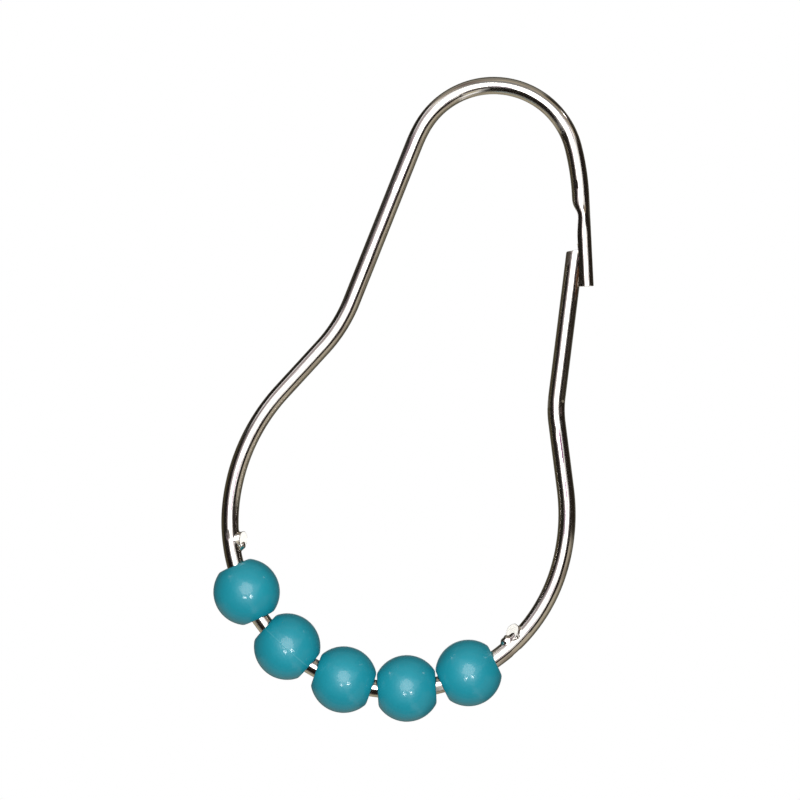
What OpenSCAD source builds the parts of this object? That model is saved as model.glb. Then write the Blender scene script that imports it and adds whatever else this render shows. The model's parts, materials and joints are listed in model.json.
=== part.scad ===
// Shower curtain hook: one bent spring wire with a clasp, and five roller beads.
// The hook hangs in the XZ plane, its rod runs along Y and the curtain hangs below.
// The origin is the centre of the bow, where the rod's axis passes.

/* [Wire] */
// Diameter of the plated wire
wire_d = 2.1; // [1.8:0.05:2.4]
// Distance from the bow's centre down to the eye's centre
reach = 44.05; // [40:0.05:48]

/* [Bow over the rod] */
// Radius of the bow, to the wire's centre line
bow_r = 20.15; // [19:0.05:21.5]
// Radius of the easier curve from the bow to the plain arm
shoulder_r = 23.6; // [22:0.1:26]
// Angle above the horizontal at which the shoulder starts
shoulder_start = 9.3; // [6:0.1:12]
// Radius of the easier curve from the bow to the clasp arm
flank_r = 23.4; // [21.5:0.1:26]
// Angle above the horizontal at which the flank starts
flank_start = 1.8; // [1:0.1:6]

/* [Plain arm] */
// Lean of the arm above the waist, from the vertical
upper_lean = 27.45; // [26:0.05:30]
// Lean of the arm below the waist, from the vertical
lower_lean = 6.6; // [5:0.1:9]
// Bend radius of the waist
waist_r = 18.2; // [14:0.1:22]

/* [Eye for the curtain] */
// Radius of the eye, to the wire's centre line
eye_r = 9.85; // [9:0.05:10.6]
// Radius of the easier curve from the eye to the plain arm
corner_r = 17.2; // [14:0.1:20]
// Angle below the horizontal at which the eye meets that curve
corner_start = 13.6; // [11:0.1:18]
// Radius of the easier curve from the eye to the clasp
cheek_r = 30; // [26:0.5:34]
// Angle below the horizontal at which the eye meets that curve
cheek_start = 29.3; // [26:0.1:32]

/* [Clasp] */
// Lean of the tail, from the vertical
tail_lean = 17.9; // [16:0.1:20]
// Length of the tail past the eye's curve
tail_l = 10.8; // [9.5:0.1:12]
// Length of the step down from the round wire to the pressed tail
step_l = 2; // [1.5:0.1:2.5]
// Depth of the flat pressed into the wire's inner side at the step
step_depth = 0.62; // [0.5:0.02:0.7]
// Depth of that flat along the rest of the tail
flat_depth = 0.4; // [0.3:0.02:0.48]
// Length over which the flat rises from the one depth to the other
flat_rise_l = 2.9; // [2:0.1:3.5]
// Thickness of metal beside the free arm in its trough, front and back
tail_wall = 0.3; // [0.2:0.01:0.4]
// Thickness of metal behind the tip of the free arm
web = 0.85; // [0.75:0.01:0.95]
// Length of the free arm that lies in the trough
overlap = 4.4; // [3.5:0.1:5]
// Gap all round between the free arm and its trough
seat_gap = 0.1; // [0.05:0.01:0.15]
// Length of the trough beyond the tip of the free arm
seat_runout = 0.8; // [0.4:0.1:1.2]
// Lean of the straight that leads down to the elbow, from the vertical
lead_lean = 22.4; // [20:0.1:25]
// Length of that straight
lead_l = 8.1; // [6:0.1:10]
// Bend radius of the elbow
elbow_r = 12.2; // [9:0.1:15]
// Slant of the sheared end of the free arm
shear_slant = 16; // [0:1:25]

/* [Roller beads] */
// Diameter of a bead
bead_d = 8; // [7.6:0.1:8.4]
// Length of a bead across its flat ends
bead_l = 7; // [6.6:0.1:7.2]
// Least gap between the bore of a bead and the wire
bead_play = 0.18; // [0.12:0.01:0.3]
// Chamfer at the mouths of the bore
mouth_chamfer = 0.2; // [0.1:0.05:0.3]
// Rounding between the ball and its flat ends
rim_r = 0.8; // [0.3:0.05:1]
// Gap between the first two beads, from the plain arm's side
first_gap = 0.58; // [0.05:0.01:0.7]
// Gap between the next two
second_gap = 0.28; // [0.05:0.01:0.6]
// Gap between each two of the other beads, which are pushed together
close_gap = 0.09; // [0.04:0.01:0.3]

/* [Stops] */
// Angle above the horizontal of the stop on the plain arm's side
stop_start = 21.5; // [18:0.5:26]
// Free run between that stop and the first bead
first_run = 2; // [0.5:0.1:2.5]
// Free run between the last bead and the stop on the clasp side
last_run = 2.9; // [1:0.1:4]
// How much slimmer than the wire a stop is
stop_thinning = 0.14; // [0.1:0.02:0.4]
// Height of a stop above the wire's centre line
stop_h = 1.75; // [1.6:0.05:2.2]
// Tilt of the first stop out of the hook's plane, towards the front
first_stop_tilt = 20; // [0:1:45]
// Tilt of the second stop
last_stop_tilt = 40; // [0:1:45]
// Width of spread metal round the foot of a stop
pad_rim = 0.5; // [0.3:0.05:0.7]
// Height of that pad above the wire's surface
pad_h = 0.12; // [0.08:0.02:0.2]
// Length of the flat that the anvil left on the wire behind a stop
anvil_l = 2.4; // [1.5:0.1:3]
// Depth of that flat
anvil_depth = 0.12; // [0.08:0.02:0.2]

/* [Hidden] */
$fn = 96;
wire_r = wire_d / 2;
tail_r = wire_r + seat_gap + tail_wall;
stop_d = wire_d - stop_thinning;
// A collar this much proud of the wire, and this long, closes each seam between two stretches.
seam_proud = 0.02;
seam_l = 0.1;
// How far the two ends of the step reach into what they join
step_lap = 0.02;
step_facets = 32;
// Larger than the tail every way, for the tools that cut it
cut_size = 4 * tail_r;

// The path is flat: points are [x, z], and a heading is in degrees, 0 along +X and 90 up.
function along(heading) = [cos(heading), sin(heading)];
function left_of(heading) = [-sin(heading), cos(heading)];
function cross_2d(a, b) = a[0] * b[1] - a[1] * b[0];

// An arc is [centre, radius, side, heading in, heading out], its side 1 to the left and -1 to the right.
function arc_point(arc, heading) = arc[0] - arc[2] * arc[1] * left_of(heading);
function arc_start(arc) = arc_point(arc, arc[3]);
function arc_end(arc) = arc_point(arc, arc[4]);
// The centre of an arc that leaves a round one of another radius without a kink
function eased(centre, round_r, radius, heading) = centre + (radius - round_r) * left_of(heading);

// Headings, in the order in which the wire is bent from the tail to the tip
tail_way = -90 + tail_lean;
cheek_end_way = -90 + cheek_start;
corner_way = 90 - corner_start;
lower_way = 90 - lower_lean;
upper_way = 90 - upper_lean;
shoulder_way = 90 + shoulder_start;
flank_way = 270 - flank_start;

bow_centre = [0, 0];
eye_centre = [0, -reach];
cheek = [eased(eye_centre, eye_r, cheek_r, cheek_end_way), cheek_r, 1, tail_way, cheek_end_way];
eye = [eye_centre, eye_r, 1, cheek_end_way, corner_way];
corner = [eased(eye_centre, eye_r, corner_r, corner_way), corner_r, 1, corner_way, lower_way];
shoulder = [eased(bow_centre, bow_r, shoulder_r, shoulder_way), shoulder_r, 1, upper_way, shoulder_way];
bow = [bow_centre, bow_r, 1, shoulder_way, flank_way];

// The waist rounds the corner where the two straights of the plain arm meet.
straights_gap = arc_start(shoulder) - arc_end(corner);
lower_to_corner = cross_2d(straights_gap, along(upper_way)) / cross_2d(along(lower_way), along(upper_way));
waist_tangent = waist_r * tan((lower_way - upper_way) / 2);
waist_start = arc_end(corner) + (lower_to_corner - waist_tangent) * along(lower_way);
waist = [waist_start - waist_r * left_of(lower_way), waist_r, -1, lower_way, upper_way];

// The tail's end, and the middle of the free arm's tip in its trough
tail_end = arc_start(cheek) - tail_l * along(tail_way);
tip = tail_end + overlap * along(tail_way) + (web + seat_gap) * left_of(tail_way);

// The elbow turns the clasp arm until it points at the tip.
lead_way = 270 + lead_lean;
flank = [eased(bow_centre, bow_r, flank_r, flank_way), flank_r, 1, flank_way, lead_way];
elbow_start = arc_end(flank) + lead_l * along(lead_way);
elbow_centre = elbow_start - elbow_r * left_of(lead_way);
to_tip = tip - elbow_centre;
free_way = 360 + atan2(to_tip[1], to_tip[0]) - asin(elbow_r / norm(to_tip));
elbow = [elbow_centre, elbow_r, -1, lead_way, free_way];

arcs = [cheek, eye, corner, waist, shoulder, bow, flank, elbow];
free_arm_l = norm(tip - arc_end(elbow));

// Pairs of arcs that have a straight between them
straights = [[corner, waist], [waist, shoulder], [flank, elbow]];

// A bead's bore is straight and the wire in it is bent, so the bead rides half of the wire's sag lower.
half_bead = bead_l / 2;
bore_sag = bow_r - sqrt(pow(bow_r, 2) - pow(half_bead, 2));
bore_d = wire_d + bore_sag + 2 * bead_play;
bead_track_r = bow_r - bore_sag / 2;
// The centre of the rounding at a bead's rim, from the bead's middle: along its axis, and out from it
rim_level = half_bead - rim_r;
rim_out = sqrt(pow(bead_d / 2 - rim_r, 2) - pow(rim_level, 2));
// Neighbours come nearest at their inner rims, whose rounding has this place seen from the bow's centre.
inner_rim = [bead_track_r - rim_out, rim_level];
function turn_of(length) = length / bow_r * 180 / PI;
function pitch(gap) = 2 * (atan2(inner_rim[1], inner_rim[0]) + asin((rim_r + gap / 2) / norm(inner_rim)));
first_bead = stop_start + turn_of(stop_d / 2 + first_run + half_bead);
bead_gaps = [first_gap, second_gap, close_gap, close_gap];
function bead_angle(n) = n == 1 ? first_bead : bead_angle(n - 1) + pitch(bead_gaps[n - 2]);
last_bead = bead_angle(len(bead_gaps) + 1);
stop_end = last_bead + turn_of(half_bead + last_run + stop_d / 2);

// Stands the flat drawing up, its front towards -Y
module stand() {
    rotate([90, 0, 0]) children();
}

// A cylinder along +X
module bar(r, length) {
    rotate([0, 90, 0]) cylinder(r = r, h = length);
}

module straight_wire(from, heading, length) {
    translate(from) rotate(heading) bar(wire_r, length);
}

module bent_wire(arc, r = wire_r) {
    translate(arc[0]) rotate(min(arc[3], arc[4]) - 90 * arc[2])
        rotate_extrude(angle = abs(arc[4] - arc[3])) translate([arc[1], 0]) circle(r = r);
}

module seam(point, heading) {
    translate(point) rotate(heading) translate([-seam_l / 2, 0]) bar(wire_r + seam_proud, seam_l);
}

// The wire from the cheek round to the elbow, with its straights
module bent_chain() {
    for (arc = arcs) {
        bent_wire(arc);
        seam(arc_start(arc), arc[3]);
    }
    for (pair = straights) {
        gap = arc_start(pair[1]) - arc_end(pair[0]);
        straight_wire(arc_end(pair[0]), pair[0][4], norm(gap));
        seam(arc_end(pair[0]), pair[0][4]);
    }
}

// The last straight, sheared off at a slant, longer on the hook's outer side
module free_arm() {
    spare = wire_r;
    difference() {
        straight_wire(arc_end(elbow), free_way, free_arm_l + spare);
        translate(tip) rotate(free_way + shear_slant) translate([0, -cut_size / 2, -cut_size / 2])
            cube(cut_size);
    }
    seam(arc_end(elbow), free_way);
}

// The tail's own frame: +X runs along it to its end, and +Y points out of the eye.
module along_tail() {
    translate(arc_start(cheek)) rotate(tail_way + 180) children();
}

// Blends the round wire into the wider tail, level on the outer side
module tail_step() {
    hull($fn = step_facets) {
        translate([-step_lap, 0]) bar(wire_r - seam_proud, step_lap, $fn = step_facets);
        translate([step_l, wire_r - tail_r]) bar(tail_r - seam_proud, step_lap, $fn = step_facets);
    }
}

// What the press takes off the tail's inner side
module tail_flat() {
    past_end = tail_l + wire_r;
    linear_extrude(cut_size, center = true) polygon([
        [0, -wire_r],
        [step_l, step_depth - wire_r],
        [step_l + flat_rise_l, flat_depth - wire_r],
        [past_end, flat_depth - wire_r],
        [past_end, -cut_size],
        [0, -cut_size]
    ]);
}

// The trough follows the free arm and runs out past its tip.
module trough() {
    translate(tip + seat_runout * along(free_way)) rotate(free_way + 180)
        bar(wire_r + seat_gap, seat_runout + 2 * overlap);
}

module tail() {
    difference() {
        along_tail() difference() {
            union() {
                tail_step();
                translate([step_l, wire_r - tail_r]) bar(tail_r, tail_l - step_l);
            }
            tail_flat();
        }
        trough();
    }
}

// A stop's own frame, on the wire's centre line: +Z is the way that the stop stands, and +Y follows the wire.
module at_stop(angle, tilt) {
    rotate(angle) translate([bow_r, 0]) rotate([0, tilt - 90, 0]) children();
}

// A stub raised from the wire's inner side, with the metal that the punch spread round its foot
module stop(angle, tilt) {
    pad_r = stop_d / 2 + pad_rim;
    pad_turn = turn_of(pad_r + pad_rim);
    pad_arc = [bow_centre, bow_r, 1, angle + 90 - pad_turn, angle + 90 + pad_turn];
    at_stop(angle, tilt) cylinder(d = stop_d, h = stop_h);
    intersection() {
        bent_wire(pad_arc, wire_r + pad_h);
        at_stop(angle, tilt) translate([0, 0, wire_r / 2]) cylinder(r = pad_r, h = stop_h);
    }
}

// The flat that the anvil pressed into the wire behind a stop
module anvil_flat(angle, tilt) {
    at_stop(angle, tilt) translate([-cut_size / 2, -anvil_l / 2, anvil_depth - wire_r - cut_size])
        cube([cut_size, anvil_l, cut_size]);
}

module hook_wire() {
    color("silver") stand() {
        difference() {
            bent_chain();
            anvil_flat(stop_start, first_stop_tilt);
            anvil_flat(stop_end, last_stop_tilt);
        }
        free_arm();
        tail();
        stop(stop_start, first_stop_tilt);
        stop(stop_end, last_stop_tilt);
    }
}

// Half of a bead's outline, with its axis along Y: a ball, its flat ends and the rounding between them
module bead_outline() {
    ball_level = rim_level * bead_d / (bead_d - 2 * rim_r);
    intersection() {
        circle(d = bead_d);
        translate([0, -ball_level]) square([bead_d, 2 * ball_level]);
    }
    for (side = [-1, 1]) translate([rim_out, side * rim_level]) circle(r = rim_r);
    translate([0, -half_bead]) square([rim_out, bead_l]);
}

// Half of the bore's outline, opened at both mouths
module bore_outline() {
    bore_r = bore_d / 2;
    inner = half_bead - mouth_chamfer;
    outer = half_bead + mouth_chamfer;
    mouth_r = bore_r + 2 * mouth_chamfer;
    polygon([
        [-bore_r, -outer], [mouth_r, -outer], [bore_r, -inner],
        [bore_r, inner], [mouth_r, outer], [-bore_r, outer]
    ]);
}

module bead_blank() {
    rotate_extrude() difference() {
        bead_outline();
        bore_outline();
    }
}

module bead(n) {
    color("lightseagreen") stand() rotate(bead_angle(n)) translate([bead_track_r, 0])
        rotate([90, 0, 0]) bead_blank();
}

hook_wire();
bead(1);  // bead_1
bead(2);  // bead_2
bead(3);  // bead_3
bead(4);  // bead_4
bead(5);  // bead_5
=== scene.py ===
"""A shower curtain hook: plated spring wire with five roller beads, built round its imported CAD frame."""

import json
import math

import bmesh
import bpy
import numpy as np
from mathutils import Matrix, Vector


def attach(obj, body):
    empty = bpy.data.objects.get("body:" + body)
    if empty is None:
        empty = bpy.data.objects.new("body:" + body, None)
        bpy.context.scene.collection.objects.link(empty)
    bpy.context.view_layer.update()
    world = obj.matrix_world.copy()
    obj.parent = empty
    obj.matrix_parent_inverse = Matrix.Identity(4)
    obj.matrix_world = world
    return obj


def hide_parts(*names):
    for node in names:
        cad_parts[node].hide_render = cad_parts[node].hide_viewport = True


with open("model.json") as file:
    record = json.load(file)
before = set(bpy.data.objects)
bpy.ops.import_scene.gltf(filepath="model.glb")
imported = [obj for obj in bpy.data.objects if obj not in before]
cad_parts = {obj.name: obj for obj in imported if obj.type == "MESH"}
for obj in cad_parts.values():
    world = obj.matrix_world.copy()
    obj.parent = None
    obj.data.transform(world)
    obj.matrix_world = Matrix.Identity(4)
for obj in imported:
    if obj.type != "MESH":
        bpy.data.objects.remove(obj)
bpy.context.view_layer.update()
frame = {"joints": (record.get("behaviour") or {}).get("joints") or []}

MM = 0.001

# The sizes of the part's source, in millimetres and degrees
WIRE_R = 1.05
REACH = 44.05
BOW_R = 20.15
SHOULDER_R, SHOULDER_START = 23.6, 9.3
FLANK_R, FLANK_START = 23.4, 1.8
UPPER_LEAN, LOWER_LEAN, WAIST_R = 27.45, 6.6, 18.2
EYE_R = 9.85
CORNER_R, CORNER_START = 17.2, 13.6
CHEEK_R, CHEEK_START = 30.0, 29.3
TAIL_LEAN, TAIL_L = 17.9, 10.8
STEP_L, STEP_DEPTH = 2.0, 0.62
FLAT_DEPTH, FLAT_RISE_L = 0.4, 2.9
TAIL_WALL, WEB, OVERLAP = 0.3, 0.85, 4.4
SEAT_GAP, SEAT_RUNOUT = 0.1, 0.8
LEAD_LEAN, LEAD_L, ELBOW_R = 22.4, 8.1, 12.2
SHEAR_SLANT = 16.0
STOP_R = 0.98
STOP_START, FIRST_STOP_TILT = 21.5, 20.0
LAST_STOP_TILT = 40.0
LAST_RUN = 2.9
PAD_H = 0.12
ANVIL_L, ANVIL_DEPTH = 2.4, 0.12
BEAD_D, BEAD_L, RIM_R = 8.0, 7.0, 0.8
BORE_R, MOUTH_CHAMFER = 1.383, 0.2

TAIL_R = WIRE_R + SEAT_GAP + TAIL_WALL

# The camera, which sees the hook upside down and turned by 15 degrees, as the photo does
PICTURE_RIGHT = Vector((-0.9653, 0.0, -0.2610))
PICTURE_UP = Vector((0.2610, 0.0, -0.9653))
TO_CAMERA = Vector((0.0, -1.0, 0.0))
TARGET = Vector((3.578, 0.0, -14.198)) * MM
PICTURE_WIDTH = 96 * MM
LENS, SENSOR = 200.0, 36.0
CLIP_START, CLIP_END = 0.01, 10


def linear(code):
    """An sRGB hex colour as linear red, green, blue and alpha."""
    parts = [int(code[i:i + 2], 16) / 255 for i in (1, 3, 5)]
    return (*[c / 12.92 if c <= 0.04045 else ((c + 0.055) / 1.055) ** 2.4 for c in parts], 1.0)


def add(tree, kind, inputs=None, **settings):
    """Adds a node with its settings; an input is a plain value, or a socket to link from."""
    made = tree.nodes.new(kind)
    for name, value in settings.items():
        setattr(made, name, value)
    for name, value in (inputs or {}).items():
        socket = made.inputs[name]
        if isinstance(value, bpy.types.NodeSocket):
            tree.links.new(value, socket)
        else:
            socket.default_value = value
    return made


def new_material(name):
    material = bpy.data.materials.new(name)
    material.use_nodes = True
    material.node_tree.nodes.clear()
    return material, material.node_tree


def new_object(name, mesh, material=None):
    made = bpy.data.objects.new(name, mesh)
    bpy.context.scene.collection.objects.link(made)
    if material is not None:
        mesh.materials.append(material)
    return made


# The wire's path runs from the tail's end round to the tip, in the plane of X and Z. Headings are in degrees,
# 0 towards +X and 90 up. A straight shorter than this, in millimetres, is left out.
SHORTEST_STRAIGHT = 1e-6


def along(heading):
    return np.array([math.cos(math.radians(heading)), math.sin(math.radians(heading))])


def left_of(heading):
    return np.array([-math.sin(math.radians(heading)), math.cos(math.radians(heading))])


def cross_2d(a, b):
    return a[0] * b[1] - a[1] * b[0]


def bend(centre, radius, side, heading_in, heading_out):
    return {"centre": centre, "radius": radius, "side": side, "from": heading_in, "to": heading_out}


def bend_point(a_bend, heading):
    return a_bend["centre"] - a_bend["side"] * a_bend["radius"] * left_of(heading)


def eased(centre, round_r, radius, heading):
    return centre + (radius - round_r) * left_of(heading)


def wire_route():
    """The stretches of the wire in order, each a straight or a bend with its name, start distance and length;
    the distances of the named places; the tip; and the headings of the tail and of the free arm."""
    tail_way, cheek_end_way = -90 + TAIL_LEAN, -90 + CHEEK_START
    corner_way, lower_way, upper_way = 90 - CORNER_START, 90 - LOWER_LEAN, 90 - UPPER_LEAN
    shoulder_way, flank_way, lead_way = 90 + SHOULDER_START, 270 - FLANK_START, 270 + LEAD_LEAN
    bow_centre, eye_centre = np.zeros(2), np.array([0.0, -REACH])
    cheek = bend(eased(eye_centre, EYE_R, CHEEK_R, cheek_end_way), CHEEK_R, 1, tail_way, cheek_end_way)
    eye = bend(eye_centre, EYE_R, 1, cheek_end_way, corner_way)
    corner = bend(eased(eye_centre, EYE_R, CORNER_R, corner_way), CORNER_R, 1, corner_way, lower_way)
    shoulder = bend(
        eased(bow_centre, BOW_R, SHOULDER_R, shoulder_way), SHOULDER_R, 1, upper_way, shoulder_way
    )
    bow = bend(bow_centre, BOW_R, 1, shoulder_way, flank_way)
    corner_end = bend_point(corner, lower_way)
    gap = bend_point(shoulder, upper_way) - corner_end
    to_waist = cross_2d(gap, along(upper_way)) / cross_2d(along(lower_way), along(upper_way))
    to_waist -= WAIST_R * math.tan(math.radians((lower_way - upper_way) / 2))
    waist_start = corner_end + to_waist * along(lower_way)
    waist = bend(waist_start - WAIST_R * left_of(lower_way), WAIST_R, -1, lower_way, upper_way)
    tail_end = bend_point(cheek, tail_way) - TAIL_L * along(tail_way)
    tip = tail_end + OVERLAP * along(tail_way) + (WEB + SEAT_GAP) * left_of(tail_way)
    flank = bend(eased(bow_centre, BOW_R, FLANK_R, flank_way), FLANK_R, 1, flank_way, lead_way)
    elbow_start = bend_point(flank, lead_way) + LEAD_L * along(lead_way)
    elbow_centre = elbow_start - ELBOW_R * left_of(lead_way)
    to_tip = tip - elbow_centre
    reach = np.linalg.norm(to_tip)
    free_way = 360 + math.degrees(math.atan2(to_tip[1], to_tip[0]) - math.asin(ELBOW_R / reach))
    elbow = bend(elbow_centre, ELBOW_R, -1, lead_way, free_way)

    route, here, distance = [], tail_end, 0.0
    for name, piece in [
        ("cheek", cheek), ("eye", eye), ("corner", corner), ("waist", waist), ("shoulder", shoulder),
        ("bow", bow), ("flank", flank), ("elbow", elbow),
    ]:
        start = bend_point(piece, piece["from"])
        length = float(np.linalg.norm(start - here))
        if length > SHORTEST_STRAIGHT:
            route.append({"name": "to_" + name, "at": distance, "length": length, "start": here,
                          "heading": piece["from"], "bend": None})
            distance += length
        length = math.radians(abs(piece["to"] - piece["from"])) * piece["radius"]
        route.append({"name": name, "at": distance, "length": length, "bend": piece})
        distance += length
        here = bend_point(piece, piece["to"])
    length = float(np.linalg.norm(tip - here))
    route.append({"name": "free_arm", "at": distance, "length": length, "start": here,
                  "heading": free_way, "bend": None})
    places = {stretch["name"]: stretch["at"] for stretch in route}
    places["tip"] = distance + length
    return route, places, tip, tail_way, free_way


ROUTE, PLACES, TIP, TAIL_WAY, FREE_WAY = wire_route()


def wire_at(distance):
    """The point on the wire's centre line at a distance from the tail's end, and the heading there."""
    for stretch in ROUTE:
        if distance <= stretch["at"] + stretch["length"]:
            break
    ahead = distance - stretch["at"]
    if stretch["bend"] is None:
        return stretch["start"] + ahead * along(stretch["heading"]), stretch["heading"]
    piece = stretch["bend"]
    turn = math.copysign(math.degrees(ahead / piece["radius"]), piece["to"] - piece["from"])
    return bend_point(piece, piece["from"] + turn), piece["from"] + turn


def bow_distance(angle):
    """The distance along the wire of a place on the bow, by its angle above the horizontal."""
    return PLACES["bow"] + math.radians(angle - SHOULDER_START) * BOW_R


def stops():
    """Where each stop stands: (distance along the wire, tilt towards the front)."""
    turn = 180 / math.pi / BOW_R
    last_bead = max(bead_angles())
    stop_end = last_bead + (BEAD_L / 2 + LAST_RUN + STOP_R) * turn
    return [(bow_distance(STOP_START), FIRST_STOP_TILT), (bow_distance(stop_end), LAST_STOP_TILT)]


def bead_joints():
    return sorted(frame["joints"], key=lambda joint: joint["child"])


def bead_angles():
    found = []
    for joint in bead_joints():
        x, _, z = joint["pos_m"]
        found.append(math.degrees(math.atan2(z, x)) % 360)
    return found


# The wire's surface is one closed sweep of rings, with the tail, the stops' feet and the tool marks in it.
# Points in a ring, and the millimetres between rings on the round wire, near its marks and on the tail
SIDES = 96
ROUND_STEP, FINE_STEP, TAIL_STEP = 0.45, 0.08, 0.12
# How near a stop and a tool mark's end the rings stand close, how far past the tail they do, and how far
# before the tip they end
NEAR_STOP, NEAR_MARK, PAST_TAIL, BEFORE_TIP = 2.3, 0.5, 0.5, 0.2
# The last rings, at the sheared tip: how far back from the slant, and radius
TIP_RINGS = [(0.12, WIRE_R), (0.05, WIRE_R - 0.015), (0.0, WIRE_R - 0.08), (0.0, 0.5)]
# The broken edge round the tail's end: how far in, and how deep
TAIL_EDGE_IN, TAIL_EDGE_DEPTH = 0.06, 0.05
# Two faces that meet at more than this have a sharp edge between them.
SHARP_EDGE = math.radians(38)


def rise(value, start, end):
    """0 before start, 1 after end, and a smooth ramp between."""
    share = min(max((value - start) / (end - start), 0.0), 1.0)
    return share * share * (3 - 2 * share)


# The numbers of the points in half the tail's outline at its lip, its front and the middle of its outer side
LIP_POINT, FRONT_POINT, OUTER_POINT = 10, 24, 48
# The front's steepest fall to the lip in degrees, and the hollow's gap round the free arm
LIP_TILT = 40.0
LIP_GAP = 0.02
# Where the search for the lip starts, as a share of the half width, and its steps
INNERMOST_LIP, LIP_TRIES = 0.3, 200
# How quickly the outer side reaches the tail's full depth
OUTER_SQUARENESS = 3
# How far the step, the pressed outline and the hollow's end are eased past their own lengths
STEP_EASE, PRESS_EASE = 0.2, 0.6
SEAT_EASE_BEFORE, SEAT_EASE_AFTER = 0.2, 0.1


def pressed_section(half_depth, half_width, middle, seat_across, seat_share):
    """The tail's outline as (inward, front) points: its front curves down to a thin lip over the free arm,
    a hollow runs between the lips, and its outer side is round."""
    tilt = math.radians(LIP_TILT)

    def front_level(inward):
        sine = np.minimum(inward / half_width, math.sin(tilt))
        drop = half_width * (1 - np.sqrt(1 - sine ** 2))
        return half_depth - drop - math.tan(tilt) * np.maximum(inward - half_width * math.sin(tilt), 0.0)

    seat_r = WIRE_R + LIP_GAP
    lip = half_width
    if seat_share > 0:
        tried = np.linspace(INNERMOST_LIP * half_width, half_width, LIP_TRIES)
        clear = np.hypot(tried + middle - seat_across, front_level(tried)) >= seat_r
        lip = tried[clear][-1] if clear.any() else tried[0]
        lip = half_width + seat_share * (lip - half_width)
    lip_level = float(front_level(np.array(lip)))
    levels = np.linspace(0.0, lip_level, LIP_POINT + 1)
    hollow = seat_across - middle - np.sqrt(np.maximum(seat_r ** 2 - levels ** 2, 0.0))
    inner = half_width + seat_share * (np.minimum(hollow, half_width) - half_width)
    inner[-1] = lip
    crown = np.linspace(lip, 0.0, FRONT_POINT - LIP_POINT + 1)[1:]
    turn = np.linspace(0.0, math.pi / 2, OUTER_POINT - FRONT_POINT + 1)[1:]
    outer = -half_width * np.sin(turn)
    fullness = np.minimum(1.0, OUTER_SQUARENESS * np.cos(turn))
    outer_level = (half_depth - half_width) * fullness + half_width * np.cos(turn)
    inward = np.concatenate([inner, crown, outer])
    front = np.concatenate([levels, front_level(crown), outer_level])
    inward = np.concatenate([inward, inward[-2:0:-1]])
    front = np.concatenate([front, -front[-2:0:-1]])
    return inward + middle, front


def tail_section(distance, point):
    """The wire's round section turns over the step into the tail's pressed one."""
    before_eye = TAIL_L - distance
    pressed = STEP_DEPTH * rise(before_eye, -STEP_EASE, STEP_L + STEP_EASE)
    pressed += (FLAT_DEPTH - STEP_DEPTH) * rise(before_eye, STEP_L, STEP_L + FLAT_RISE_L)
    # The free arm's middle at this place on the tail, and how far past the tip it is
    across = -cross_2d(along(FREE_WAY), point - TIP) / cross_2d(along(FREE_WAY), left_of(TAIL_WAY))
    past_tip = float(np.dot(point - TIP, along(FREE_WAY)))
    seat_share = 1 - rise(past_tip, SEAT_RUNOUT - SEAT_EASE_BEFORE, SEAT_RUNOUT + SEAT_EASE_AFTER)
    shape = pressed_section(TAIL_R, WIRE_R - pressed / 2, -pressed / 2, across, seat_share)
    turn = np.arange(SIDES) * 2 * math.pi / SIDES
    share = rise(before_eye, -STEP_EASE, STEP_L + PRESS_EASE)
    deeper = rise(before_eye, STEP_L - PRESS_EASE, STEP_L + FLAT_RISE_L)
    share_front = share + (deeper - share) * np.maximum(-np.cos(turn), 0.0)
    return ((1 - share) * WIRE_R * np.cos(turn) + share * shape[0],
            (1 - share_front) * WIRE_R * np.sin(turn) + share_front * shape[1])


# Flats and dents that tools left on the round wire: distance along it, turn round it (0 inward, 90 front),
# depth, and half length, in millimetres and degrees.
TOOL_MARKS = [
    (170.6, 141, 0.05, 1.1), (168.9, 126, 0.03, 0.9), (171.4, 12, 0.07, 0.45), (167.6, 84, 0.02, 0.8),
    (18.5, 52, 0.05, 0.5), (12.2, 60, 0.04, 0.5), (141.5, 124, 0.025, 1.4), (95.3, 107, 0.04, 0.5),
    (140.3, 172, 0.06, 0.5), (48.0, 96, 0.02, 0.6), (32.1, 70, 0.02, 2.0),
]

# Lumps beside the stops: distance past the stop, turn round the wire, reach and height, in the same units
STOP_LUMPS = [(0.75, 0.0, 0.8, 0.5), (-1.35, 16.0, 0.85, 0.36)]
# How far a flat runs out at its ends, and the least cosine at which it still cuts the wire
FLAT_RUNOUT, LEAST_FACING = 0.2, 0.2
# The foot's turn away from its stop, its rim past the stop, and the width of a foot's or lump's slope
FOOT_TURN, FOOT_RIM, HILL_SLOPE = 22, 0.35, 0.5


def round_section(distance, stop_places):
    """The drawn wire, with the stops' feet, the anvil's flats and the tool marks."""
    turn = np.arange(SIDES) * 2 * math.pi / SIDES
    radius = np.full(SIDES, WIRE_R)
    flats = [(place, tilt + 180, ANVIL_DEPTH, ANVIL_L / 2) for place, tilt in stop_places]
    for place, way, depth, half_length in flats + TOOL_MARKS:
        off = abs(distance - place)
        if off < half_length + FLAT_RUNOUT:
            facing = np.cos(turn - math.radians(way))
            flat = (WIRE_R - depth) / np.maximum(facing, LEAST_FACING)
            share = rise(half_length - off, -FLAT_RUNOUT, FLAT_RUNOUT)
            radius = radius + share * (np.minimum(radius, flat) - radius)
    for (place, tilt), lump in zip(stop_places, STOP_LUMPS):
        # The foot, and the lump of wire that the punch pushed up beside the stop
        foot = (0.0, tilt - FOOT_TURN, STOP_R + FOOT_RIM, PAD_H)
        for ahead, way, reach, height in (foot, lump):
            side = np.abs((np.degrees(turn) - way + 180) % 360 - 180)
            from_middle = np.hypot(distance - place - ahead, WIRE_R * np.radians(side))
            hill = np.clip((reach - from_middle) / HILL_SLOPE, 0, 1)
            radius = radius + height * hill * hill * (3 - 2 * hill)
    return radius * np.cos(turn), radius * np.sin(turn)


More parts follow.
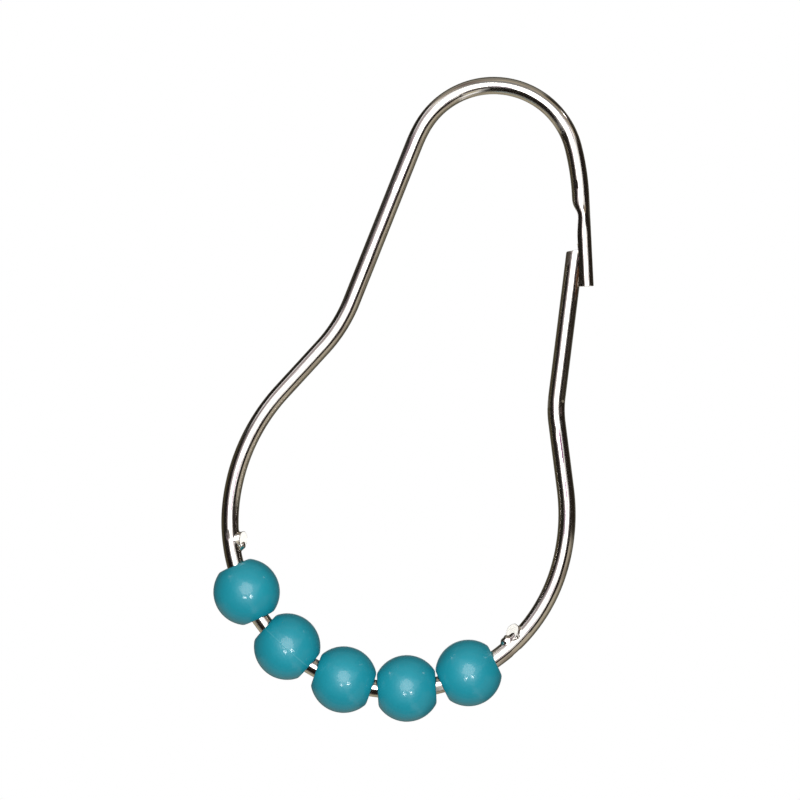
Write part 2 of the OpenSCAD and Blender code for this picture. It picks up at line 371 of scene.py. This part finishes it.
def stations(stop_places):
    """Distances along the wire at which it has a ring of points, closer where the shape changes."""
    found, here, last = [], 0.0, PLACES["tip"]
    while here < last - BEFORE_TIP:
        found.append(here)
        near = min(abs(here - place) for place, _ in stop_places) < NEAR_STOP
        near = near or min(abs(here - mark[0]) - mark[3] for mark in TOOL_MARKS) < NEAR_MARK
        if here < TAIL_L + PAST_TAIL:
            here += TAIL_STEP
        else:
            here += FINE_STEP if near else ROUND_STEP
    return found


def wire_mesh():
    """Rings of points along the whole path, closed at the tail's end and at the sheared tip."""
    stop_places = stops()
    bm = bmesh.new()
    lengthwise = bm.verts.layers.float_vector.new("along_wire")
    rings = []

    def ring(distance, inward, front, ahead=0.0):
        point, heading = wire_at(min(distance, PLACES["tip"]))
        inner = left_of(heading)
        onward = along(heading)
        ahead = np.broadcast_to(ahead, inward.shape)
        made = []
        for a, b, c in zip(inward, front, ahead):
            x, z = point + a * inner + c * onward
            vert = bm.verts.new((x * MM, -b * MM, z * MM))
            vert[lengthwise] = (distance + c, a, b)
            made.append(vert)
        rings.append(made)

    def inset(inward, front, width):
        """The section's outline moved inwards by a width."""
        step_a = np.roll(inward, -1) - np.roll(inward, 1)
        step_b = np.roll(front, -1) - np.roll(front, 1)
        size = np.hypot(step_a, step_b) + 1e-9
        return inward - width * step_b / size, front + width * step_a / size

    for distance in stations(stop_places):
        point, _ = wire_at(distance)
        if distance < TAIL_L:
            inward, front = tail_section(distance, point)
        else:
            inward, front = round_section(distance, stop_places)
        if not rings:
            edge_a, edge_b = inset(inward, front, TAIL_EDGE_IN)
            ring(0.0, edge_a, edge_b)
            ring(0.0, inward, front, TAIL_EDGE_DEPTH)
        else:
            ring(distance, inward, front)
    # The shear's slant leaves the outer side of the tip longer, and its edge is a little broken.
    turn = np.arange(SIDES) * 2 * math.pi / SIDES
    slant = math.tan(math.radians(SHEAR_SLANT))
    for back, radius in TIP_RINGS:
        inward, front = radius * np.cos(turn), radius * np.sin(turn)
        ring(PLACES["tip"], inward, front, -slant * inward - back)
    for before, after in zip(rings, rings[1:]):
        for i in range(SIDES):
            j = (i + 1) % SIDES
            bm.faces.new((before[i], before[j], after[j], after[i])).smooth = True
    bm.faces.new(rings[0])
    bm.faces.new(list(reversed(rings[-1])))
    bmesh.ops.recalc_face_normals(bm, faces=bm.faces)
    mesh = bpy.data.meshes.new("hook_wire_form")
    bm.to_mesh(mesh)
    bm.free()
    return mesh


# Points round a bead, steps along its ball and round its rim, and the distance at which points are merged
BEAD_SIDES, BALL_STEPS, RIM_STEPS = 96, 64, 7
MERGED = 0.001 * MM
# How far the edges of a bead's mouth are broken: outside it, on it, and at the bore
MOUTH_OUTSIDE, MOUTH_EDGE, MOUTH_INSIDE = 0.03, 0.02, 0.05


def lathe_mesh(name, outline, sides, place):
    """Turns a closed outline of (radius, level) points about Z, in millimetres, and sets it in its place.
    The layer own_place keeps where each point was before that, for the patterns."""
    bm = bmesh.new()
    own_place = bm.verts.layers.float_vector.new("own_place")
    rings = []
    for i in range(sides):
        turn = 2 * math.pi * i / sides
        ring = []
        for r, z in outline:
            own = Vector((r * math.cos(turn), r * math.sin(turn), z))
            vert = bm.verts.new(place @ (own * MM))
            vert[own_place] = own
            ring.append(vert)
        rings.append(ring)
    count = len(outline)
    for i in range(sides):
        here, there = rings[i], rings[(i + 1) % sides]
        for k in range(count):
            m = (k + 1) % count
            bm.faces.new((here[k], there[k], there[m], here[m])).smooth = True
    bmesh.ops.remove_doubles(bm, verts=bm.verts, dist=MERGED)
    bmesh.ops.recalc_face_normals(bm, faces=bm.faces)
    mesh = bpy.data.meshes.new(name)
    bm.to_mesh(mesh)
    bm.free()
    mesh.set_sharp_from_angle(angle=SHARP_EDGE)
    return mesh


def bead_outline():
    """The closed outline of half a bead: its ball, rounded rims, flat ends, mouths and bore."""
    rim_level = BEAD_L / 2 - RIM_R
    rim_out = math.sqrt((BEAD_D / 2 - RIM_R) ** 2 - rim_level ** 2)
    ball_end = math.atan2(rim_level, rim_out)
    outline = []
    for i in range(BALL_STEPS + 1):
        turn = -ball_end + 2 * ball_end * i / BALL_STEPS
        outline.append((BEAD_D / 2 * math.cos(turn), BEAD_D / 2 * math.sin(turn)))
    upper = [(rim_out + RIM_R * math.cos(t), rim_level + RIM_R * math.sin(t))
             for t in np.linspace(ball_end, math.pi / 2, RIM_STEPS + 1)[1:]]
    upper += [(BORE_R + MOUTH_CHAMFER + MOUTH_OUTSIDE, BEAD_L / 2)]
    upper += [(BORE_R + MOUTH_CHAMFER, BEAD_L / 2 - MOUTH_EDGE)]
    upper += [(BORE_R + MOUTH_EDGE, BEAD_L / 2 - MOUTH_CHAMFER)]
    upper += [(BORE_R, BEAD_L / 2 - MOUTH_CHAMFER - MOUTH_INSIDE)]
    lower = [(r, -z) for r, z in reversed(upper)]
    return outline + upper + lower


# Marks in the plating, with long lilac lines along the front that are painted reflection: distance along the
# wire, inward and front place, length and width, in millimetres, colour and roughness.
PLATING_MARKS_AND_REFLECTIONS = [
    (189.1, 0.86, 0.62, 2.6, 0.95, "#8F867A", 0.55),
    (187.2, -0.62, 0.84, 4.6, 0.34, "#7E5C42", 0.6),
    (188.3, -0.50, 0.92, 1.0, 0.25, "#3A2A20", 0.6),
    (184.9, -0.72, 0.76, 1.8, 0.30, "#6E4A34", 0.6),
    (169.9, 0.42, 0.96, 0.5, 0.22, "#1C1714", 0.4),
    (170.4, -0.62, 0.85, 1.3, 0.30, "#C9B4B2", 0.4),
    (168.9, -0.52, 0.91, 0.9, 0.22, "#8F8C88", 0.4),
    # These three long lilac lines are painted reflection: they copy lines in the wire's bright streak.
    (166.2, -0.12, 1.04, 5.0, 0.24, "#5E4258", 0.3),
    (161.0, -0.02, 1.05, 7.0, 0.20, "#7A6A76", 0.3),
    (157.5, 0.22, 1.03, 5.0, 0.16, "#8A7C86", 0.3),
    (168.2, 0.28, 1.01, 1.4, 0.14, "#4A4440", 0.4),
    (12.1, 0.55, 0.89, 0.8, 0.16, "#3A3330", 0.4),
    # These two long lilac lines are painted reflection: they copy lines in the wire's bright streak.
    (32.0, 0.30, 1.0, 4.6, 0.20, "#6C6468", 0.3),
    (29.0, 0.16, 1.03, 4.0, 0.18, "#7A7276", 0.3),
    (95.2, -0.26, 1.02, 1.1, 0.20, "#9C9690", 0.4),
    (0.3, -0.66, 1.1, 0.6, 0.35, "#6F675F", 0.5),
    (0.2, 0.50, 1.2, 0.5, 0.40, "#2A2420", 0.5),
    (3.5, -0.42, 1.3, 7.0, 0.12, "#6A4038", 0.4),
    (47.9, -0.10, 1.04, 0.5, 0.16, "#8A8078", 0.4),
    # These two long lilac lines are painted reflection: they copy lines in the wire's bright streak.
    (52.0, 0.22, 1.03, 9.0, 0.14, "#8E8288", 0.3),
    (90.0, 0.10, 1.04, 9.0, 0.18, "#8A7A84", 0.3),
]


def nickel_plated_wire():
    """Bright nickel over drawn spring steel: near a mirror, with fine drawing lines along the wire, dull
    threads in them, rust where the free arm rubs in the tail, and long lilac lines painted along the front as
    reflection."""
    material, tree = new_material("nickel_plated_drawn_spring_steel")
    place = add(tree, "ShaderNodeAttribute", attribute_name="along_wire").outputs["Vector"]
    # The die leaves lines about 0.02 mm apart, too fine to show, so these are 0.2 mm apart.
    stretched = add(tree, "ShaderNodeVectorMath", {0: place, 1: (0.04, 1.0, 1.0)}, operation="MULTIPLY")
    lines = add(tree, "ShaderNodeTexNoise", {"Vector": stretched.outputs[0], "Scale": 5.0, "Detail": 3.0})
    # Slow waves in the plating, some 3 mm long, break the reflections up a little.
    waves = add(tree, "ShaderNodeTexNoise", {"Vector": place, "Scale": 0.35, "Detail": 1.0})
    # Grain of the plating, 0.15 mm, which roughens the edges of the reflections
    grain = add(tree, "ShaderNodeTexNoise", {"Vector": place, "Scale": 6.5, "Detail": 1.0})
    height = add(tree, "ShaderNodeMix", {"Factor": 0.3, "A": lines.outputs["Fac"], "B": waves.outputs["Fac"]},
                 data_type="FLOAT")
    height = add(tree, "ShaderNodeMix", {"Factor": 0.12, "A": height.outputs[0], "B": grain.outputs["Fac"]},
                 data_type="FLOAT")
    relief = add(tree, "ShaderNodeBump", {"Strength": 0.5, "Distance": 0.02 * MM,
                                          "Height": height.outputs[0]})
    rough = add(tree, "ShaderNodeMapRange", {"Value": lines.outputs["Fac"], "To Min": 0.08, "To Max": 0.2})
    tint = add(tree, "ShaderNodeMix", {"Factor": waves.outputs["Fac"], "A": linear("#F7F3EE"),
                                       "B": linear("#EBE4DC")}, data_type="RGBA")
    threads = add(tree, "ShaderNodeMapRange", {"Value": lines.outputs["Fac"], "From Min": 0.55,
                                               "From Max": 0.67})
    tint = add(tree, "ShaderNodeMix", {"Factor": threads.outputs[0], "A": tint.outputs[2],
                                       "B": linear("#A8979E")}, data_type="RGBA")
    colour, roughness = tint.outputs[2], rough.outputs[0]
    # The long lilac lines among these marks are painted reflection; the rest are marks and rust in the
    # plating.
    for distance, inward, front, length, width, mark_and_reflection_colour, mark_rough in PLATING_MARKS_AND_REFLECTIONS:
        off = add(tree, "ShaderNodeVectorMath", {0: place, 1: (distance, inward, front)},
                  operation="SUBTRACT")
        shares = (2 / length, 2 / width, 2 / width)
        off = add(tree, "ShaderNodeVectorMath", {0: off.outputs[0], 1: shares}, operation="MULTIPLY")
        size = add(tree, "ShaderNodeVectorMath", {0: off.outputs[0]}, operation="LENGTH")
        # The grain makes the mark's border ragged.
        ragged = add(tree, "ShaderNodeMath", {0: size.outputs["Value"], 1: grain.outputs["Fac"]},
                     operation="ADD")
        cover = add(tree, "ShaderNodeMapRange", {"Value": ragged.outputs[0], "From Min": 1.25,
                                                 "From Max": 1.65, "To Min": 1.0, "To Max": 0.0})
        tint = add(tree, "ShaderNodeMix", {"Factor": cover.outputs[0], "A": colour, "B": linear(mark_and_reflection_colour)},
                   data_type="RGBA")
        dull = add(tree, "ShaderNodeMix", {"Factor": cover.outputs[0], "A": roughness, "B": mark_rough},
                   data_type="FLOAT")
        colour, roughness = tint.outputs[2], dull.outputs[0]
    shader = add(tree, "ShaderNodeBsdfPrincipled", {
        "Base Color": colour, "Metallic": 1.0, "Roughness": roughness, "Normal": relief.outputs[0],
    })
    add(tree, "ShaderNodeOutputMaterial", {"Surface": shader.outputs[0]})
    return material


def sheared_steel():
    """The punched faces of the stops: a fine matt grain under the plating, so they look white and not
    mirrored."""
    material, tree = new_material("punched_steel_face")
    place = add(tree, "ShaderNodeAttribute", attribute_name="own_place").outputs["Vector"]
    # Grit of about 0.1 mm, drawn at 0.25 mm
    grit = add(tree, "ShaderNodeTexNoise", {"Vector": place, "Scale": 4.0, "Detail": 3.0})
    relief = add(tree, "ShaderNodeBump", {"Strength": 0.4, "Distance": 0.03 * MM,
                                          "Height": grit.outputs["Fac"]})
    tint = add(tree, "ShaderNodeMix", {"Factor": grit.outputs["Fac"], "A": linear("#FFFDF8"),
                                       "B": linear("#EDE9E2")}, data_type="RGBA")
    shader = add(tree, "ShaderNodeBsdfPrincipled", {
        "Base Color": tint.outputs[2], "Metallic": 0.8, "Roughness": 0.3, "Normal": relief.outputs[0],
    })
    add(tree, "ShaderNodeOutputMaterial", {"Surface": shader.outputs[0]})
    return material


def burr_with_painted_shade():
    """The burr round a punched face: bare steel torn rough, whose dark colour is painted shade that draws a
    thin dark line round the face.
    """
    material, tree = new_material("torn_steel_burr")
    place = add(tree, "ShaderNodeAttribute", attribute_name="own_place").outputs["Vector"]
    # Tears some 0.4 mm long
    tears = add(tree, "ShaderNodeTexNoise", {"Vector": place, "Scale": 2.5, "Detail": 2.0})
    relief = add(tree, "ShaderNodeBump", {"Strength": 0.5, "Distance": 0.05 * MM,
                                          "Height": tears.outputs["Fac"]})
    # The dark end of this mix is painted shade: a thin dark line round the punched face.
    tint = add(tree, "ShaderNodeMix", {"Factor": tears.outputs["Fac"], "A": linear("#3A322E"),
                                       "B": linear("#9A918A")}, data_type="RGBA")
    shader = add(tree, "ShaderNodeBsdfPrincipled", {
        "Base Color": tint.outputs[2], "Metallic": 1.0, "Roughness": 0.45, "Normal": relief.outputs[0],
    })
    add(tree, "ShaderNodeOutputMaterial", {"Surface": shader.outputs[0]})
    return material


def moulded_bead_plastic():
    """Gloss moulded plastic, taken to be polypropylene, blue-green all through: a thin clear skin gives the
    lamps' reflections their shape, over a body that scatters the light."""
    material, tree = new_material("gloss_moulded_bead_plastic")
    place = add(tree, "ShaderNodeAttribute", attribute_name="own_place").outputs["Vector"]
    # Orange peel from the mould, 0.35 mm across, which breaks up the softbox's reflection
    peel = add(tree, "ShaderNodeTexNoise", {"Vector": place, "Scale": 2.9, "Detail": 3.0})
    # The mould's parting line, 0.06 mm wide with faded borders, along the bore on both sides
    sides = add(tree, "ShaderNodeSeparateXYZ", {0: place})
    off_line = add(tree, "ShaderNodeMath", {0: sides.outputs["X"]}, operation="ABSOLUTE")
    parting = add(tree, "ShaderNodeMapRange", {"Value": off_line.outputs[0], "From Min": 0.03,
                                               "From Max": 0.10, "To Min": 1.0, "To Max": 0.0})
    height = add(tree, "ShaderNodeMath", {0: parting.outputs[0], 1: 0.8, 2: peel.outputs["Fac"]},
                 operation="MULTIPLY_ADD")
    relief = add(tree, "ShaderNodeBump", {"Strength": 0.85, "Distance": 0.02 * MM,
                                          "Height": height.outputs[0]})
    # Flow of the pigment, 4 mm across
    flow = add(tree, "ShaderNodeTexNoise", {"Vector": place, "Scale": 0.25, "Detail": 2.0})
    tint = add(tree, "ShaderNodeMix", {"Factor": flow.outputs["Fac"], "A": linear("#06899B"),
                                       "B": linear("#139AAC")}, data_type="RGBA")
    line_share = add(tree, "ShaderNodeMath", {0: parting.outputs[0], 1: 0.17}, operation="MULTIPLY")
    tint = add(tree, "ShaderNodeMix", {"Factor": line_share.outputs[0], "A": tint.outputs[2],
                                       "B": linear("#7CCAD2")}, data_type="RGBA")
    shader = add(tree, "ShaderNodeBsdfPrincipled", {
        "Base Color": tint.outputs[2], "Metallic": 0.0, "Roughness": 0.5, "IOR": 1.49,
        "Normal": relief.outputs[0], "Coat Weight": 0.55, "Coat Roughness": 0.13,
        "Coat Normal": relief.outputs[0],
    })
    add(tree, "ShaderNodeOutputMaterial", {"Surface": shader.outputs[0]})
    return material


def build_wire(material):
    wire = new_object("wire_form", wire_mesh(), material)
    wire.data.set_sharp_from_angle(angle=SHARP_EDGE)
    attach(wire, "hook")
    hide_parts("hook_wire")


# Each stop's face: its middle inward and to the front of the wire's middle, its tilt to the front, its twist
# along the wire, and its half widths along and across.
STOP_FACES = [
    (1.50, 0.34, 34.0, 8.0, 0.98, 0.80),
    (1.13, 0.46, 41.0, -22.0, 1.06, 1.0),
]
# A stop's rings from its base to its face: share of the way, share of the width, and level under the face.
# The faces between rings RIM_START and RIM_END turn over the torn rim, which is painted dark as shade.
STOP_RINGS = [
    (0.0, 1.0, 0.0), (0.35, 1.0, 0.0), (0.7, 1.0, 0.0), (1.0, 1.0, -0.10), (1.0, 1.02, -0.04),
    (1.0, 0.98, 0.0), (1.0, 0.90, 0.015), (1.0, 0.6, 0.0), (1.0, 0.3, 0.0),
]
STOP_SIDES, RIM_START, RIM_END = 72, 3, 5
# The base inside the wire: its middle inward and to the front, the way across it, and its half widths
BASE_MIDDLE, BASE_ACROSS, BASE_HALF_WIDTHS = (0.05, 0.08), (-0.3, 0.95), (1.0, 0.95)
# How far the shear tore the rim out of round, in three wide waves and seven fine ones
WIDE_TEAR, FINE_TEAR = 0.025, 0.012
# The least cosine to the face's own way at which a polygon belongs to the punched face
FACE_SHARE = 0.95


def stop_mesh(name, distance, face):
    """A stop raised out of the wire by a punch: a short lump that ends in an oblique sheared face."""
    inward, front, tilt, twist, half_along, half_across = face
    point, heading = wire_at(distance)
    inner, onward = left_of(heading), along(heading)
    axes = (Vector((inner[0], 0.0, inner[1])), Vector((0.0, -1.0, 0.0)), Vector((onward[0], 0.0, onward[1])))
    middle = Vector((point[0], 0.0, point[1]))
    lean, swing = math.radians(tilt), math.radians(twist)

    def turned(inward_part, front_part, along_part):
        return inward_part * axes[0] + front_part * axes[1] + along_part * axes[2]

    normal = turned(math.cos(lean) * math.cos(swing), math.sin(lean), math.cos(lean) * math.sin(swing))
    way_along = turned(-math.sin(swing), 0.0, math.cos(swing))
    way_across = normal.cross(way_along)
    face_middle = middle + turned(inward, front, 0.0)
    base_middle = middle + turned(*BASE_MIDDLE, 0.0)
    base_across = turned(*BASE_ACROSS, 0.0)
    base_across *= 1 if base_across.dot(way_across) > 0 else -1
    bm = bmesh.new()
    own_place = bm.verts.layers.float_vector.new("own_place")
    along_wire = bm.verts.layers.float_vector.new("along_wire")
    rings = []
    for share, width, level in STOP_RINGS:
        ring = []
        for i in range(STOP_SIDES):
            turn = 2 * math.pi * i / STOP_SIDES
            ragged = 1 + WIDE_TEAR * math.sin(3 * turn + distance) + FINE_TEAR * math.sin(7 * turn)
            c, d = math.cos(turn) * ragged * width, math.sin(turn) * ragged * width
            top = face_middle + half_along * c * way_along + half_across * d * way_across + level * normal
            base = base_middle + BASE_HALF_WIDTHS[0] * c * axes[2] + BASE_HALF_WIDTHS[1] * d * base_across
            place = base.lerp(top, share)
            vert = bm.verts.new(place * MM)
            vert[own_place] = place - face_middle
            vert[along_wire] = (distance + c, inward, d)
            ring.append(vert)
        rings.append(ring)
    for before, after in zip(rings, rings[1:]):
        for i in range(STOP_SIDES):
            j = (i + 1) % STOP_SIDES
            bm.faces.new((before[i], before[j], after[j], after[i])).smooth = True
    bm.faces.new(rings[0])
    bm.faces.new(rings[-1])
    bmesh.ops.recalc_face_normals(bm, faces=bm.faces)
    mesh = bpy.data.meshes.new(name)
    bm.to_mesh(mesh)
    bm.free()
    mesh.set_sharp_from_angle(angle=SHARP_EDGE)
    return mesh, normal


def build_stops(side_material, face_material, painted_shade_rim_material):
    for name, (distance, _), face in zip(("stop_1", "stop_2"), stops(), STOP_FACES):
        mesh, normal = stop_mesh(name, distance, face)
        stub = new_object(name, mesh, side_material)
        mesh.materials.append(face_material)
        mesh.materials.append(painted_shade_rim_material)
        for polygon in mesh.polygons:
            polygon.material_index = int(polygon.normal.dot(normal) > FACE_SHARE)
        # The rim's faces take the burr's material, whose dark colour is painted shade.
        for polygon in mesh.polygons[STOP_SIDES * RIM_START:STOP_SIDES * RIM_END]:
            polygon.material_index = 2
        stop_glint(stub, normal)
        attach(stub, "hook")


# How far each bead has rolled about the wire, which turns its parting line; the second one's faces the front.
BEAD_SPINS = (82, 0, 96, 88, 100)


def build_beads(material):
    outline = bead_outline()
    beads = []
    for number, joint in enumerate(bead_joints(), start=1):
        middle, axis = Vector(joint["pos_m"]), Vector(joint["axis"]).normalized()
        outward = middle.normalized()
        turned = Matrix((outward, axis.cross(outward), axis)).transposed()
        spun = Matrix.Rotation(math.radians(BEAD_SPINS[number - 1]), 4, "Z")
        place = Matrix.Translation(middle) @ turned.to_4x4() @ spun
        name = f"roller_{number}"
        bead = new_object(name, lathe_mesh(name, outline, BEAD_SIDES, place), material)
        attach(bead, joint["child"])
        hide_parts(joint["child"])
        beads.append(bead)
    for lamp in BEAD_LAMPS:
        light_only(bpy.data.objects[lamp], beads)


# The studio's cards: name, turn in the picture from and to, near and far angle off the camera's axis at both
# turns, colour, and the width of its faded border in degrees. Later ones stand in front.
CARDS = [
    ("grey_surround", (0, 360), (136, 136), (169, 169), "#6C6A62", 4),
    ("dark_surround", (0, 360), (112, 112), (144, 144), "#4C4A40", 4),
    ("lilac_wall_left", (126, 204), (46, 20), (84, 44), "#9A8E92", 8),
    ("dark_room_left", (150, 212), (60, 16), (118, 118), "#221F1B", 5),
    ("olive_wall_left", (155, 208), (92, 92), (124, 124), "#4A4432", 5),
    ("dark_wall_upper_left", (118, 158), (94, 66), (130, 130), "#1C1A17", 5),
    ("tan_ceiling", (52, 132), (62, 64), (86, 86), "#B5AA95", 5),
    ("grey_ceiling", (52, 132), (78, 78), (118, 118), "#8A867C", 5),
    ("tan_wall_upper_right", (20, 60), (60, 60), (80, 80), "#A4967E", 4),
    ("dark_wall_upper_right", (12, 58), (76, 76), (122, 122), "#2C2822", 4),
    ("dark_wall_right", (346, 386), (22, 56), (122, 122), "#241F1A", 4),
    ("olive_wall_lower_right", (298, 352), (76, 76), (122, 122), "#7A7464", 4),
    ("tan_band_lower_right", (298, 352), (48, 52), (104, 88), "#ADA594", 3),
    ("brown_flag_lower_right", (296, 356), (36, 24), (58, 60), "#160F0D", 2),
    ("tan_drape_below", (202, 300), (96, 96), (150, 150), "#A29B86", 5),
    ("olive_drape_below", (200, 296), (80, 80), (100, 100), "#5F573C", 5),
    ("black_flag_below", (206, 286), (8, 10), (84, 84), "#1E1B17", 4),
    ("tan_reflector", (284, 300), (13, 13), (60, 60), "#B9B296", 3),
    ("camera_front", (0, 360), (0, 0), (3.5, 3.5), "#A09698", 3),
]
# The first card's distance and how much nearer each next one stands, in metres, and a card's mesh steps
CARD_DISTANCE, CARD_SPACING, CARD_STEPS = 0.95, 0.01, 24


def picture_way(off_axis, turn):
    """A direction by its angle off the camera's axis and its turn in the picture, 0 right and 90 up."""
    t, p = math.radians(off_axis), math.radians(turn)
    flat = math.cos(p) * PICTURE_RIGHT + math.sin(p) * PICTURE_UP
    return math.cos(t) * TO_CAMERA + math.sin(t) * flat


def studio_card(name, turn, near, far, colour, fade, distance):
    """A card that only reflections see. It runs between two turns in the picture, and from the near to the
    far angle off the camera's axis, each given at both turns; its borders fade over a few degrees."""
    bm = bmesh.new()
    cover = bm.verts.layers.float.new("cover")
    grid = []
    for i in range(CARD_STEPS + 1):
        row = []
        for j in range(CARD_STEPS + 1):
            u, v = i / CARD_STEPS, j / CARD_STEPS
            low = near[0] + v * (near[1] - near[0])
            high = far[0] + v * (far[1] - far[0])
            off_axis, place = low + u * (high - low), turn[0] + v * (turn[1] - turn[0])
            vert = bm.verts.new(TARGET + distance * picture_way(off_axis, place))
            width = math.sin(math.radians(off_axis))
            border = min(off_axis - low, high - off_axis)
            if turn[1] - turn[0] < 360:
                border = min(border, (place - turn[0]) * width, (turn[1] - place) * width)
            vert[cover] = min(border / fade, 1.0)
            row.append(vert)
        grid.append(row)
    for i in range(CARD_STEPS):
        for j in range(CARD_STEPS):
            corners = (grid[i][j], grid[i + 1][j], grid[i + 1][j + 1], grid[i][j + 1])
            bm.faces.new(corners).smooth = True
    mesh = bpy.data.meshes.new(name)
    bm.to_mesh(mesh)
    bm.free()
    material, tree = new_material(name + "_face")
    shown = add(tree, "ShaderNodeAttribute", attribute_name="cover").outputs["Fac"]
    clear = add(tree, "ShaderNodeBsdfTransparent")
    glow = add(tree, "ShaderNodeEmission", {"Color": linear(colour), "Strength": 1.0})
    both = add(tree, "ShaderNodeMixShader", {0: shown, 1: clear.outputs[0], 2: glow.outputs[0]})
    add(tree, "ShaderNodeOutputMaterial", {"Surface": both.outputs[0]})
    card = new_object(name, mesh, material)
    card.visible_camera = False
    card.visible_diffuse = False
    card.visible_shadow = False
    card.visible_transmission = False


# Lamps: name, angle off the camera's axis and turn in the picture as the beads see them, distance and size in
# metres, and radiance, where 1 is white.
LAMPS = [
    ("broad_softbox", 14, 90, 0.7, 0.56, 4.15),
    ("back_softbox", 174, 270, 0.7, 0.5, 2.8),
    ("left_spot", 17.3, 246.5, 0.35, 0.04, 55),
    ("right_spot", 19.0, 323, 0.35, 0.04, 55),
    ("left_side_lamp", 87, 138, 0.6, 0.024, 40),
    ("right_side_lamp", 87, 42, 0.6, 0.024, 40),
]
BEADS_MIDDLE = Vector((0.5, 0.0, 17.0)) * MM
# The lamps that light the beads alone, so that they leave no blotch on the wire
BEAD_LAMPS = ("left_spot", "right_spot", "left_side_lamp")
# The soft lamp of each stop: its size and distance in metres, and its radiance
GLINT_SIZE, GLINT_DISTANCE, GLINT_RADIANCE = 0.5, 0.5, 1.3
# The strength of the world's light on the object
ROOM_LIGHT = 0.23
FLOOR_RADIUS, FLOOR_LEVEL, FLOOR_SIDES = 1.3, -1.0, 96


def disk_lamp(name, place, way, size, radiance):
    """A round white area lamp that faces back along its way; its radiance is what a mirror would show."""
    data = bpy.data.lights.new(name, "AREA")
    data.shape = "DISK"
    data.size = size
    data.energy = radiance * math.pi * math.pi * (size / 2) ** 2
    lamp = bpy.data.objects.new(name, data)
    bpy.context.scene.collection.objects.link(lamp)
    lamp.location = place
    lamp.rotation_euler = way.to_track_quat("Z", "Y").to_euler()
    return lamp


def light_only(lamp, pieces):
    """Keeps a lamp's light to these pieces alone."""
    lit = bpy.data.collections.new(lamp.name + "_lit")
    for piece in pieces:
        lit.objects.link(piece)
    lamp.light_linking.receiver_collection = lit


def stop_glint(stub, normal):
    """A soft lamp for this stop alone, where its punched face mirrors it towards the camera."""
    way = 2 * normal.dot(TO_CAMERA) * normal - TO_CAMERA
    lamp = disk_lamp(stub.name + "_glint", GLINT_DISTANCE * way, way, GLINT_SIZE, GLINT_RADIANCE)
    light_only(lamp, [stub])


def pale_unless_lit(tree, plain, level):
    """White at strength 1 for camera, gloss and transmission rays, and a plain level for the light."""
    path = add(tree, "ShaderNodeLightPath")
    seen = add(tree, "ShaderNodeMath", {0: path.outputs["Is Camera Ray"], 1: path.outputs["Is Glossy Ray"]},
               operation="MAXIMUM")
    seen = add(tree, "ShaderNodeMath", {0: seen.outputs[0], 1: path.outputs["Is Transmission Ray"]},
               operation="MAXIMUM")
    light = add(tree, "ShaderNodeBackground", {"Color": linear(plain), "Strength": level})
    white = add(tree, "ShaderNodeBackground", {"Color": linear("#FFFFFF"), "Strength": 1.0})
    return add(tree, "ShaderNodeMixShader", {0: seen.outputs[0], 1: light.outputs[0], 2: white.outputs[0]})


def build_studio():
    scene = bpy.context.scene
    scene.view_settings.view_transform = "Standard"
    world = bpy.data.worlds.new("white_room")
    scene.world = world
    world.use_nodes = True
    tree = world.node_tree
    tree.nodes.clear()
    room = pale_unless_lit(tree, "#FFFFFF", ROOM_LIGHT)
    add(tree, "ShaderNodeOutputWorld", {"Surface": room.outputs[0]})

    for number, card in enumerate(CARDS):
        studio_card(*card, distance=CARD_DISTANCE - CARD_SPACING * number)
    for name, off_axis, turn, distance, size, radiance in LAMPS:
        way = picture_way(off_axis, turn)
        disk_lamp(name, BEADS_MIDDLE + distance * way, way, size, radiance)
    behind = bpy.data.objects["back_softbox"]
    behind.visible_camera = False
    behind.visible_glossy = False


def build_floor():
    material, tree = new_material("pale_floor_paint")
    paint = add(tree, "ShaderNodeBsdfPrincipled", {"Base Color": linear("#F2F1EE"), "Roughness": 0.9})
    add(tree, "ShaderNodeOutputMaterial", {"Surface": paint.outputs[0]})
    bm = bmesh.new()
    bmesh.ops.create_circle(bm, cap_ends=True, segments=FLOOR_SIDES, radius=FLOOR_RADIUS)
    mesh = bpy.data.meshes.new("floor")
    bm.to_mesh(mesh)
    bm.free()
    floor = new_object("floor", mesh, material)
    floor.location = (0.0, 0.0, FLOOR_LEVEL)


def build_camera():
    data = bpy.data.cameras.new("product_camera")
    data.lens, data.sensor_width = LENS, SENSOR
    data.sensor_fit = "HORIZONTAL"
    data.clip_start, data.clip_end = CLIP_START, CLIP_END
    camera = bpy.data.objects.new("product_camera", data)
    bpy.context.scene.collection.objects.link(camera)
    distance = PICTURE_WIDTH * LENS / SENSOR
    turned = Matrix((PICTURE_RIGHT, PICTURE_UP, TO_CAMERA)).transposed()
    camera.matrix_world = Matrix.Translation(TARGET + distance * TO_CAMERA) @ turned.to_4x4()
    bpy.context.scene.camera = camera


build_camera()
build_studio()
build_floor()
plated = nickel_plated_wire()
build_wire(plated)
build_stops(plated, sheared_steel(), burr_with_painted_shade())
build_beads(moulded_bead_plastic())

bpy.context.view_layer.update()
